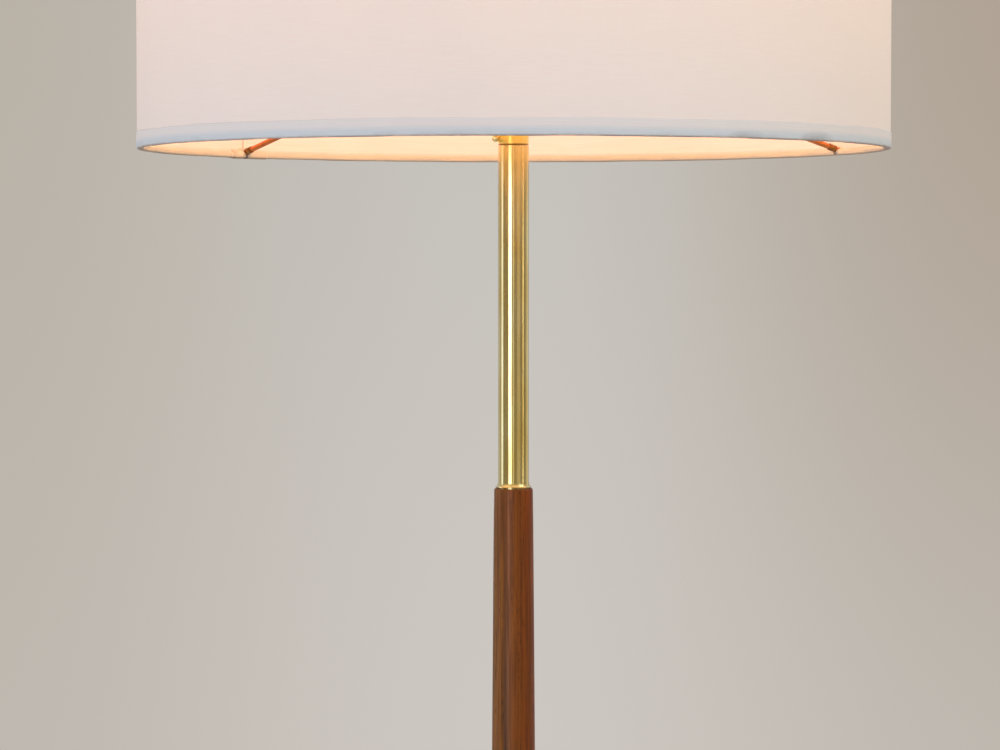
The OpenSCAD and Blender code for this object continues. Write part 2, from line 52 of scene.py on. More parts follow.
Point = tuple[float, float, float]
Span = tuple[float, float]
Tree = bpy.types.NodeTree
Node = bpy.types.Node
Socket = bpy.types.NodeSocket
log = logging.getLogger("floor_lamp")


# ---- small helpers -------------------------------------------------------------------------------------------------


def linear(code: str) -> Colour:
    """Turns an sRGB hex code into the linear colour that the shaders take.

    Args:
        code: Six hex digits with a leading hash.

    Returns:
        Red, green, blue and an alpha of 1.
    """
    parts = [int(code[i:i + 2], 16) / 255 for i in (1, 3, 5)]
    red, green, blue = (p / 12.92 if p <= 0.04045 else ((p + 0.055) / 1.055) ** 2.4 for p in parts)
    return red, green, blue, 1.0


def fill(tree: Tree, node: Node, values: dict[Any, Any]) -> None:
    """Links sockets to a node's inputs, and sets constants on the inputs themselves.

    Args:
        tree: The node tree.
        node: The node.
        values: A constant, or an output socket of another node, by input name or number.
    """
    for key, value in values.items():
        if isinstance(value, Socket):
            tree.links.new(value, node.inputs[key])
        else:
            node.inputs[key].default_value = value


def add(tree: Tree, kind: str, inputs: dict[Any, Any] | None = None, **settings: Any) -> Node:
    """Adds a node with its settings, values and links.

    Args:
        tree: The node tree that gets it.
        kind: The node's type name after ShaderNode.
        inputs: Values by input name or number; an output socket of another node is linked instead.
        **settings: The node's own properties.

    Returns:
        The new node.
    """
    made = tree.nodes.new("ShaderNode" + kind)
    for name, value in settings.items():
        setattr(made, name, value)
    fill(tree, made, inputs or {})
    return made


def smooth(low: float, high: float, x: float) -> float:
    """A soft step from 0 at low to 1 at high."""
    t = min(1.0, max(0.0, (x - low) / (high - low)))
    return t * t * (3 - 2 * t)


def bump_at(x: float, centre: float, width: float) -> float:
    """A bell of height 1 round a centre."""
    return math.exp(-((x - centre) / width) ** 2)


@dataclass(frozen=True)
class Lie:
    """Where a piece's own axis starts and how it is turned, so that a pattern can follow it."""

    at: Point = (0.0, 0.0, 0.0)
    turn: Point = (0.0, 0.0, 0.0)
    tag: str = ""


UPRIGHT = Lie()


class Lines(Enum):
    """Which way the marks of the making run on a turned or drawn piece."""

    ALONG = "along"
    AROUND = "around"


@dataclass
class Canvas:
    """A node tree being filled in, the shader that it feeds and the axis that its patterns follow."""

    tree: Tree
    shader: Node
    lie: Lie = UPRIGHT

    @property
    def place(self) -> Socket:
        """Object coordinates in metres."""
        return add(self.tree, "TexCoord").outputs["Object"]

    @property
    def unrolled(self) -> Socket:
        """The shade's own map in metres: round the drum, and up."""
        return add(self.tree, "UVMap", uv_map="weave").outputs["UV"]

    def feed(self, values: dict[str, Any]) -> None:
        """Gives the shader its inputs, as sockets or constants."""
        fill(self.tree, self.shader, values)

    def mix(self, share: Any, first: Any, second: Any) -> Socket:
        """Mixes two colours.

        Args:
            share: How much of the second, as a number or a socket.
            first: Hex code, linear colour or socket.
            second: The same.

        Returns:
            The mixed colour.
        """
        first, second = (linear(c) if isinstance(c, str) else c for c in (first, second))
        made = add(self.tree, "Mix", {0: share, 6: first, 7: second}, data_type="RGBA", clamp_factor=True)
        return made.outputs[2]

    def reckon(self, operation: str, *values: Any) -> Socket:
        """Works out a sum on numbers or sockets."""
        return add(self.tree, "Math", dict(enumerate(values)), operation=operation).outputs[0]

    def vector(self, operation: str, *values: Any) -> Node:
        """Works out a sum on vectors; the caller picks the output."""
        return add(self.tree, "VectorMath", dict(enumerate(values)), operation=operation)

    def axis(self, vector: Socket, name: str) -> Socket:
        """Takes one axis out of a vector."""
        return add(self.tree, "SeparateXYZ", {0: vector}).outputs[name]

    def levels(self, value: Socket, low: float, high: float, to_low: float = 0.0, to_high: float = 1.0,
               **settings: Any) -> Socket:
        """Maps a value's range onto another, clamped.

        Args:
            value: The value.
            low: Where it starts to change.
            high: Where it has changed.
            to_low: What it is mapped to at low.
            to_high: What it is mapped to at high.
            **settings: The node's other properties.

        Returns:
            The mapped value.
        """
        made = add(self.tree, "MapRange", {"Value": value, "From Min": low, "From Max": high, "To Min": to_low,
                                           "To Max": to_high}, clamp=True, **settings)
        return made.outputs["Result"]

    def spread(self, stretch: Point = (1.0, 1.0, 1.0)) -> Socket:
        """Object coordinates turned to the piece's axis and stretched.

        Args:
            stretch: How many times longer a mark is along each axis.

        Returns:
            The coordinates.
        """
        turned = add(self.tree, "Mapping", {"Vector": self.place, "Location": self.lie.at, "Rotation": self.lie.turn,
                                            "Scale": stretch}, vector_type="TEXTURE")
        return turned.outputs["Vector"]

    def rows(self, length: float) -> Socket:
        """The shade's own map, with marks drawn out round the drum by a factor."""
        drawn = add(self.tree, "Mapping", {"Vector": self.unrolled, "Scale": (length, 1.0, 1.0)},
                    vector_type="TEXTURE")
        return drawn.outputs["Vector"]

    def noise(self, where: Socket, size: float, detail: float = 2.0, low: float = 0.0, high: float = 1.0,
              twist: float = 0.0) -> Socket:
        """A noise of a real size, spread between two values.

        Args:
            where: Coordinates in metres.
            size: Width of one blotch in metres.
            detail: Octaves.
            low: Noise level that becomes 0.
            high: Noise level that becomes 1.
            twist: Distortion.

        Returns:
            A value from 0 to 1.
        """
        made = add(self.tree, "TexNoise", {"Vector": where, "Scale": 1 / size, "Detail": detail,
                                           "Distortion": twist})
        return self.levels(made.outputs["Fac"], low, high)

    def relief(self, height: Socket, depth: float, strength: float = 1.0) -> None:
        """Gives the shader a bump of a real depth in metres."""
        bump = add(self.tree, "Bump", {"Height": height, "Distance": depth, "Strength": strength})
        self.feed({"Normal": bump.outputs["Normal"]})


# ---- finishes ------------------------------------------------------------------------------------------------------


@dataclass(frozen=True)
class Finish:
    """A surface and its one material for each lie of the pattern."""

    name: str

    def material(self, lie: Lie = UPRIGHT) -> bpy.types.Material:
        """Returns the material, made when it is first asked for.

        Args:
            lie: The piece's own axis.

        Returns:
            The material.
        """
        title = f"{self.name} {lie.tag}".strip()
        found = bpy.data.materials.get(title)
        if found:
            return found
        made = bpy.data.materials.new(title)
        made.use_nodes = True
        tree = made.node_tree
        tree.nodes.clear()
        shader = add(tree, "BsdfPrincipled")
        add(tree, "OutputMaterial", {"Surface": shader.outputs["BSDF"]})
        self.paint(Canvas(tree, shader, lie))
        return made

    def paint(self, on: Canvas) -> None:
        """Lays the pattern on the shader; each finish has its own."""
        raise NotImplementedError


@dataclass(frozen=True)
class LacqueredBrass(Finish):
    """Polished yellow brass under a thin clear lacquer: sharp reflections, drawn out by fine polishing lines."""

    lines: Lines = Lines.ALONG
    light: str = "#FAE29C"
    deep: str = "#E9C668"
    rough: float = 0.2
    # Polishing lines are under 0.1 mm apart; drawn at 0.9 mm so that they show
    line_width: float = 0.9 * MM
    line_stretch: float = 90.0
    line_depth: float = 0.012 * MM
    # The polishing wheel's marks run round the tube, so a reflection is drawn out along it
    drawn_out: float = 0.9
    # Level under which no polish reaches, how far up the tarnish shows and how strongly
    seam: float = 0.0
    seam_width: float = 0.9 * MM
    seam_share: float = 0.86
    tarnish: str = "#7E3F0E"
    worn: str = "#B98E3C"
    worn_share: float = 0.16
    patch: float = 14 * MM

    def paint(self, on: Canvas) -> None:
        """Polishing lines in the relief and gloss, slow tone changes in the metal.

        Args:
            on: The material's canvas.
        """
        long = self.line_stretch
        stretch = (1.0, 1.0, long) if self.lines is Lines.ALONG else (long, long, 1.0)
        fine = on.noise(on.spread(stretch), self.line_width, 3.0, 0.3, 0.7)
        slow = on.noise(on.spread((1.0, 1.0, 3.0)), self.patch, 3.0, 0.35, 0.68)
        metal = on.mix(slow, self.light, self.deep)
        metal = on.mix(on.levels(fine, 0.0, 1.0, 0.0, self.worn_share), metal, self.worn)
        if self.seam:
            dull = on.levels(on.axis(on.spread(), "Z"), self.seam + 0.7 * self.seam_width,
                             self.seam + 1.3 * self.seam_width, self.seam_share, 0.0)
            metal = on.mix(dull, metal, self.tarnish)
        on.feed({"Base Color": metal, "Metallic": 1.0,
                 "Roughness": on.levels(fine, 0.0, 1.0, self.rough - 0.03, self.rough + 0.06),
                 "Anisotropic": self.drawn_out, "Anisotropic Rotation": 0.25,
                 "Coat Weight": 1.0, "Coat Roughness": 0.05})
        on.relief(fine, self.line_depth, 0.6)


@dataclass(frozen=True)
class MottledMetal(Finish):
    """A bare or plated metal whose marks run no single way."""

    light: str = "#C9C7C2"
    deep: str = "#8E8C88"
    rough: float = 0.3
    grain: float = 1.1 * MM
    depth: float = 0.01 * MM
    patch: float = 6 * MM

    def paint(self, on: Canvas) -> None:
        """Blotches in the tone, grain in the gloss and relief.

        Args:
            on: The material's canvas.
        """
        fine = on.noise(on.spread(), self.grain, 4.0, 0.3, 0.7)
        slow = on.noise(on.spread(), self.patch, 3.0, 0.35, 0.65)
        tone = on.mix(slow, self.light, self.deep)
        on.feed({"Base Color": on.mix(on.levels(fine, 0.0, 1.0, 0.0, 0.25), tone, self.deep),
                 "Roughness": on.levels(fine, 0.0, 1.0, self.rough - 0.06, self.rough + 0.1), "Metallic": 1.0})
        on.relief(fine, self.depth)


@dataclass(frozen=True)
class Moulded(Finish):
    """A moulded, cast or dipped non-metal: even colour with flow marks, a fine surface grain and a little dust."""

    light: str = "#2A2826"
    deep: str = "#171615"
    rough: float = 0.5
    grain: float = 0.8 * MM
    depth: float = 0.03 * MM
    patch: float = 9 * MM
    ior: float = 1.5
    sheen: float = 0.0

    def paint(self, on: Canvas) -> None:
        """Flow marks in the tone, grain in the gloss and relief.

        Args:
            on: The material's canvas.
        """
        fine = on.noise(on.spread(), self.grain, 3.0, 0.3, 0.7)
        slow = on.noise(on.spread(), self.patch, 3.0, 0.35, 0.65)
        tone = on.mix(slow, self.light, self.deep)
        on.feed({"Base Color": on.mix(on.levels(fine, 0.0, 1.0, 0.0, 0.2), tone, self.light),
                 "Roughness": on.levels(fine, 0.0, 1.0, self.rough - 0.06, self.rough + 0.08),
                 "IOR": self.ior, "Sheen Weight": self.sheen})
        on.relief(fine, self.depth)


@dataclass(frozen=True)
class OiledWalnut(Finish):
    """Black walnut, turned, sanded and oiled: long brown streaks, short dark open pores and a soft sheen."""

    pale: str = "#A4692B"
    brown: str = "#6E3B10"
    red: str = "#954105"
    dark: str = "#472108"
    pore: str = "#24120A"
    rough: float = 0.38
    # Bands of early and late wood, 2 to 6 mm wide and 26 times as long
    band: float = 5.5 * MM
    band_stretch: float = 26.0
    streak: float = 1.3 * MM
    streak_stretch: float = 40.0
    # Pores are about 0.2 mm wide; drawn at 0.45 mm so that they show, and gathered in clusters
    pore_width: float = 0.45 * MM
    pore_stretch: float = 12.0
    cluster: float = 3.2 * MM
    # Across the grain one side is paler and the other redder; on the column the pale side is the left, where the
    # window light falls, so this is partly painted light and shade
    lit_and_shaded_sides: Span = (-11 * MM, 10 * MM)
    # A streak of dark heartwood in the lower part: its two edges, where it fades out upwards, and its strength
    heart: str = "#3A2A22"
    heart_left: Span = (-7.5 * MM, -5.0 * MM)
    heart_right: Span = (-4.6 * MM, -2.6 * MM)
    heart_top: Span = (0.9, 1.0)
    heart_share: float = 0.6

    def paint(self, on: Canvas) -> None:
        """Bands, streaks and pores along the grain, with one side paler than the other, partly painted light and
        shade.

        Args:
            on: The material's canvas.
        """
        along = on.spread((1.0, 1.0, self.band_stretch))
        bands = on.noise(along, self.band, 3.0, 0.3, 0.7, 0.6)
        streaks = on.noise(on.spread((1.0, 1.0, self.streak_stretch)), self.streak, 4.0, 0.32, 0.68)
        pores = on.noise(on.spread((1.0, 1.0, self.pore_stretch)), self.pore_width, 1.0, 0.60, 0.70)
        clusters = on.noise(along, self.cluster, 2.0, 0.46, 0.62)
        across = on.axis(on.spread(), "X")
        # Paler on one side and redder on the other: partly painted light and shade
        wood = on.mix(on.levels(across, *self.lit_and_shaded_sides), self.pale, self.red)
        wood = on.mix(on.levels(bands, 0.0, 1.0, 0.0, 0.75), wood, self.brown)
        wood = on.mix(on.levels(streaks, 0.3, 1.0, 0.0, 0.6), wood, self.dark)
        heart = on.reckon("MULTIPLY", on.levels(across, *self.heart_left),
                          on.levels(across, *self.heart_right, 1.0, 0.0))
        low = on.levels(on.axis(on.spread(), "Z"), *self.heart_top, self.heart_share, 0.0)
        wood = on.mix(on.reckon("MULTIPLY", heart, low), wood, self.heart)
        flecks = on.reckon("MULTIPLY", pores, on.levels(clusters, 0.0, 1.0, 0.15, 0.9))
        on.feed({"Base Color": on.mix(flecks, wood, self.pore), "IOR": 1.47, "Specular IOR Level": 0.24,
                 "Roughness": on.levels(streaks, 0.0, 1.0, self.rough - 0.05, self.rough + 0.1)})
        on.relief(on.reckon("SUBTRACT", streaks, flecks), 0.05 * MM, 0.7)


class Glow(Enum):
    """How the lamp inside shows through a layer of the shade."""

    COVER = "cover"
    HEM = "hem"


@dataclass(frozen=True)
class ShadeCloth(Finish):
    """White plain-woven cotton glued to the lining: matt, ribbed by slubs, warm where light comes through."""

    glow: Glow = Glow.COVER
    tint: str = "#EDEBE6"
    shaded: str = "#DDDCDB"
    warm: Colour = (0.36, 0.162, 0.04, 1.0)
    # Threads are 0.35 mm apart; drawn 1.25 mm apart so that they show
    thread: float = 1.25 * MM
    slub_height: float = 0.55 * MM
    slub_stretch: float = 34.0
    bulb_level: float = 1.3577
    radius: float = 0.2284
    rim: float = 1.216
    top: float = 1.516
    hem_clear: float = 4.4 * MM
    # Painted shade in two grey patches on the bottom hem's front right: the centre of each and how far its grey
    # reaches
    painted_shade_patches: tuple[tuple[Point, float], ...] = (((0.1685, -0.1547, 1.2165), 18 * MM),
                                                   ((0.1265, -0.1905, 1.2165), 15 * MM))
    mark_squat: float = 3.4
    painted_shade_grey: str = "#9A9189"
    # The turned-in side's cream tint, glue yellowing together with painted warm lamp light; the dust; and the painted
    # shade along the bottom edge
    yellowed_and_lamplit: str = "#F0D2A6"
    dusty: str = "#B0A9A2"
    painted_edge_shade: str = "#8C6C5A"

    def paint(self, on: Canvas) -> None:
        """Weave and slubs on the piece's own map, and the lamp's light through them.

        Args:
            on: The material's canvas.
        """
        coords = on.unrolled
        # A wave repeats every 0.314 / scale
        waves = [add(on.tree, "TexWave", {"Vector": coords, "Scale": 0.314 / self.thread, "Distortion": 1.6,
                                          "Detail": 1.0, "Detail Scale": 1.5}, wave_type="BANDS",
                     bands_direction=way).outputs["Fac"] for way in ("X", "Y")]
        slubs = on.noise(on.rows(self.slub_stretch), self.slub_height, 3.0, 0.42, 0.74)
        cloud = on.noise(coords, 45 * MM, 3.0, 0.3, 0.7)
        height = on.reckon("ADD", on.reckon("MULTIPLY", *waves), slubs)
        cloth = on.mix(on.levels(height, 0.0, 1.6, 0.55, 0.0), self.tint, self.shaded)
        on.relief(height, 0.05 * MM, 0.5)
        thick = on.reckon("MULTIPLY", on.levels(height, 0.0, 1.6, 1.03, 0.93), on.levels(cloud, 0.0, 1.0, 0.97, 1.03))
        lit = on.reckon("MULTIPLY", thick, self.falloff(on))
        on.feed({"Base Color": cloth if self.glow is Glow.COVER else self.dust_and_painted_light(on, cloth),
                 "Roughness": 0.9, "IOR": 1.45, "Sheen Weight": 0.15, "Sheen Roughness": 0.6,
                 "Emission Color": on.mix(lit, (0.0, 0.0, 0.0, 1.0), self.warm),
                 "Emission Strength": 1.0 if self.glow is Glow.COVER else 0.6})

    def dust_and_painted_light(self, on: Canvas, cloth: Socket) -> Socket:
        """Greys a hem with dust and two patches of painted shade, darkens its bottom edge with painted shade and
        tints its turned-in side cream.

        Args:
            on: The material's canvas.
            cloth: The cloth's colour.

        Returns:
            The colour with its dust, tint and painted shade.
        """
        coords = on.place
        away, half = self.from_middle(on), (self.top - self.rim) / 2
        # Painted shade along the bottom edge, fading out 1 mm above it
        edge = on.levels(on.axis(coords, "Z"), self.rim + 0.1 * MM, self.rim + 1.0 * MM, 1.0, 0.0)
        radius = on.vector("LENGTH", on.vector("MULTIPLY", coords, (1.0, 1.0, 0.0)).outputs[0]).outputs["Value"]
        # The turned-in side's cream tint: glue yellowing together with painted warm lamp light
        inside = on.levels(radius, self.radius - 2.0 * MM, self.radius - 0.6 * MM, 0.85, 0.0)
        cloth = on.mix(inside, cloth, self.yellowed_and_lamplit)
        dust = on.noise(coords, 24 * MM, 4.0, 0.35, 0.75)
        scuff = on.reckon("MULTIPLY", dust, on.levels(away, half - 5.5 * MM, half - 1.5 * MM))
        cloth = on.mix(on.levels(scuff, 0.35, 1.0, 0.0, 0.3), cloth, self.dusty)
        # Painted shade: two grey patches on the bottom hem's front right
        squat = on.vector("MULTIPLY", coords, (1.0, 1.0, self.mark_squat)).outputs[0]
        for mark, reach in self.painted_shade_patches:
            centre = (mark[0], mark[1], mark[2] * self.mark_squat)
            apart = on.vector("DISTANCE", squat, centre).outputs["Value"]
            near = on.levels(apart, 0.25 * reach, reach, 1.0, 0.0)
            cloth = on.mix(on.reckon("MULTIPLY", near, on.levels(dust, 0.0, 1.0, 0.3, 0.8)), cloth, self.painted_shade_grey)
        return on.mix(on.levels(edge, 0.0, 1.0, 0.0, 0.75), cloth, self.painted_edge_shade)

    def from_middle(self, on: Canvas) -> Socket:
        """Distance above or below the drum's middle."""
        return on.reckon("ABSOLUTE", on.reckon("SUBTRACT", on.axis(on.place, "Z"), (self.rim + self.top) / 2))

    def falloff(self, on: Canvas) -> Socket:
        """How much of the bulb's light falls on the cloth at each level: the cube of the distance's share.

        Args:
            on: The material's canvas.

        Returns:
            A value from 0 to 1, 1 level with the bulb.
        """
        share = on.reckon("DIVIDE", on.reckon("SUBTRACT", on.axis(on.place, "Z"), self.bulb_level), self.radius)
        fall = on.reckon("POWER", on.reckon("MULTIPLY_ADD", share, share, 1.0), -1.5)
        if self.glow is Glow.COVER:
            return fall
        # Below the ring wire four layers and the wire stop the light
        wire = (self.top - self.rim) / 2 - self.hem_clear
        clear = on.levels(self.from_middle(on), wire - 1.6 * MM, wire + 1.4 * MM, 1.0, 0.0)
        return on.reckon("MULTIPLY", fall, clear)


@dataclass(frozen=True)
class StyreneLining(Finish):
    """Calendered white styrene sheet: satin, with an even painted glow for the lamp's light on it, faint roller marks
    and a speck or two.
    """

    tint: str = "#F6E4D8"
    deep: str = "#EFD8C3"
    # The glow is painted: emission stands in for the lamp's light bouncing inside the shade
    warm: Colour = (1.0, 0.475, 0.222, 1.0)
    strength: float = 0.25
    cloudy: Colour = (0.7, 0.45, 0.2, 1.0)
    # The lap's cut edge is 0.6 mm thick; the orange line along it is painted shade, in the colour and in a dimmer
    # glow
    cut: str = "#D98E48"
    cut_shade_glow: Colour = (0.5, 0.2, 0.05, 1.0)
    speck: str = "#7A5A38"
    speck_light: Colour = (0.1, 0.05, 0.02, 1.0)
    speck_gap: float = 28 * MM

    def paint(self, on: Canvas) -> None:
        """Roller marks, clouds and specks on the piece's own map.

        Args:
            on: The material's canvas.
        """
        coords = on.unrolled
        marks = on.noise(on.rows(20.0), 1.6 * MM, 3.0, 0.3, 0.7)
        cloud = on.noise(coords, 30 * MM, 3.0, 0.35, 0.65)
        specks = add(on.tree, "TexVoronoi", {"Vector": coords, "Scale": 1 / self.speck_gap, "Randomness": 1.0})
        dots = on.levels(specks.outputs["Distance"], 0.016, 0.034, 0.75, 0.0)
        # Painted shade: a line along the lap's cut edge
        cut = on.levels(on.axis(coords, "X"), 0.6 * MM, 0.9 * MM, 0.8, 0.0)
        sheet = on.mix(cut, on.mix(on.levels(marks, 0.0, 1.0, 0.0, 0.5), self.tint, self.deep), self.cut)
        light = on.mix(cut, on.mix(on.levels(cloud, 0.0, 1.0, 0.0, 0.06), self.warm, self.cloudy), self.cut_shade_glow)
        on.relief(marks, 0.02 * MM, 0.5)
        on.feed({"Base Color": on.mix(dots, sheet, self.speck), "Roughness": 0.45, "IOR": 1.59,
                 "Emission Color": on.mix(dots, light, self.speck_light), "Emission Strength": self.strength})


@dataclass(frozen=True)
class FrostedGlass(Finish):
    """Bulb glass etched white inside and lit: brightest at the filament, dimmer down the neck."""

    tint: str = "#F7F1E6"
    deep: str = "#E4DED2"
    hot: Colour = (1.0, 0.64, 0.40, 1.0)
    cool: Colour = (0.5, 0.25, 0.10, 1.0)
    strength: float = 21.5
    neck: float = 1.300
    belly: float = 1.345

    def paint(self, on: Canvas) -> None:
        """A soft grain in the etch, and light that grows up the neck.

        Args:
            on: The material's canvas.
        """
        coords = on.place
        etch = on.noise(coords, 0.9 * MM, 3.0, 0.3, 0.7)
        rise = on.levels(on.axis(coords, "Z"), self.neck, self.belly)
        on.feed({"Base Color": on.mix(etch, self.tint, self.deep), "Roughness": 0.35,
                 "Emission Color": on.mix(rise, self.cool, self.hot), "Emission Strength": self.strength})
        on.relief(etch, 0.02 * MM)


BRASS_DRAWN = LacqueredBrass("Lacquered brass, drawn and polished")
BRASS_TURNED = LacqueredBrass("Lacquered brass, turned and polished", Lines.AROUND, rough=0.17,
                              line_depth=0.005 * MM, drawn_out=0.3)
BRASS_COLLAR = LacqueredBrass("Lacquered brass, turned, tarnished in its seam", Lines.AROUND, "#FFEA86", "#F6D058",
                              0.3, line_depth=0.005 * MM, drawn_out=0.3, seam=1.2192)
WALNUT = OiledWalnut("Oiled walnut, turned")
COPPER = MottledMetal("Copper rod, drawn bright", "#E58A4E", "#B4602C", 0.17, 0.9 * MM, 0.003 * MM, 9 * MM)
BRAZE = MottledMetal("Braze, cleaned", "#C48A4C", "#6B3D1C", 0.28, 1.0 * MM, 0.08 * MM, 2.2 * MM)
ZINC = MottledMetal("Steel, zinc plated", "#C9CACB", "#96989C", 0.34, 0.9 * MM, 0.012 * MM, 4 * MM)
ALUMINIUM = MottledMetal("Aluminium, pressed", "#D5D5D3", "#A9A9A8", 0.3, 0.8 * MM, 0.01 * MM, 5 * MM)
SOLDER = MottledMetal("Solder", "#BDBCB8", "#83827F", 0.38, 0.7 * MM, 0.06 * MM, 1.6 * MM)
WHITE_WIRE = Moulded("Steel wire, dipped white", "#F1EEE7", "#E2DDD2", 0.42, 1.0 * MM, 0.03 * MM, 8 * MM)
RUBBER = Moulded("Rubber, moulded", "#2B2A29", "#191817", 0.72, 0.7 * MM, 0.05 * MM, 6 * MM, 1.52, 0.1)
NYLON = Moulded("Nylon, turned", "#EDEAE0", "#DAD5C6", 0.45, 0.8 * MM, 0.02 * MM, 7 * MM, 1.53)
PHENOLIC = Moulded("Phenolic, moulded", "#2A211C", "#16110E", 0.3, 1.2 * MM, 0.015 * MM, 5 * MM, 1.6)
FIBRE = Moulded("Vulcanised fibre", "#B79A6E", "#97794D", 0.7, 0.9 * MM, 0.04 * MM, 6 * MM, 1.5)
BLACK_GLASS = Moulded("Glass, pressed black", "#1B1A1C", "#0C0C0D", 0.12, 1.4 * MM, 0.01 * MM, 3 * MM, 1.52)
CLOTH = ShadeCloth("Cotton, plain weave, laminated")
HEM = ShadeCloth("Cotton, folded hem", Glow.HEM)
FLOOR = Moulded("Floor paint, rolled", "#DCD4CA", "#D9D1C6", 0.7, 4 * MM, 0.03 * MM, 0.9)
LINING = StyreneLining("Styrene sheet, calendered")
GLASS = FrostedGlass("Glass, etched white inside")


def dress(finish: Finish, *nodes: str, lie: Lie = UPRIGHT) -> None:
    """Gives CAD nodes their finish.

    Args:
        finish: The finish.
        *nodes: The nodes' names.
        lie: The axis that its pattern follows.
    """
    for name in nodes:
        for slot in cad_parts[name].material_slots:
            slot.material = finish.material(lie)
        log.info("%s: %s", name, finish.name)


# ---- sub-assemblies ------------------------------------------------------------------------------------------------


@dataclass
class Stand:
    """Feet, legs, hub, column and the fixed tube with its clamp collar."""

    foot_circle: float = 0.212
    seat: Point = (0.027, 0.0, 0.5104)
    leg_angles: tuple[float, ...] = (-90.0, 30.0, 150.0)

    def build(self) -> None:
        """Dresses every piece of the stand."""
        dress(WALNUT, "column")
        dress(BRASS_DRAWN, "fixed_tube")
        dress(BRASS_COLLAR, "clamp_collar")
        dress(BRASS_TURNED, "hub", "hub_cover", "column_sleeve", "foot_plug")
        dress(ZINC, "leg_bolts", "hub_washer", "hub_nut", "cover_screws", "lamp_pipe")
        dress(RUBBER, "cord_bushing")
        for number, angle in enumerate(self.leg_angles, 1):
            self.leg(number, angle)

    def leg(self, number: int, angle: float) -> None:
        """Dresses a leg with patterns along its own axis.

        Args:
            number: The leg's number in the nodes' names.
            angle: Its direction in degrees.
        """
        lean = math.atan2(self.foot_circle - self.seat[0], self.seat[2])
        way = math.radians(angle)
        foot = (self.foot_circle * math.cos(way), self.foot_circle * math.sin(way), 0.0)
        lie = Lie(foot, (0.0, -lean, way), f"leg {number}")
        dress(WALNUT, f"leg_{number}", lie=lie)
        dress(BRASS_TURNED, f"leg_cap_{number}", f"foot_cap_{number}", lie=lie)
        dress(RUBBER, f"foot_pad_{number}")


@dataclass
class Riser:
    """The sliding tube with the lamp socket, its switch and the shade's seat."""

    def build(self) -> None:
        """Dresses every piece that rises with the tube, and those that turn on it."""
        dress(BRASS_DRAWN, "riser_tube", "socket_shell")
        dress(BRASS_TURNED, "riser_neck", "socket_cap", "shade_seat", "switch_collar", "centre_contact",
              "terminal_screws", "shade_nut", "clamp_screw")
        dress(ZINC, "socket_nipple", "nipple_locknut", "switch_shaft")
        dress(NYLON, "guide_bush")
        dress(PHENOLIC, "socket_body", "switch_knob")
        dress(FIBRE, "socket_sleeve")
        dress(ALUMINIUM, "screw_shell", "bulb_base")
        dress(SOLDER, "bulb_tip", "bulb_leads")
        dress(BLACK_GLASS, "bulb_insulator")
        dress(GLASS, "bulb_glass", "bulb_stem")


class Edge(Enum):
    """The shade's two hemmed edges."""

    BOTTOM = "bottom"
    TOP = "top"


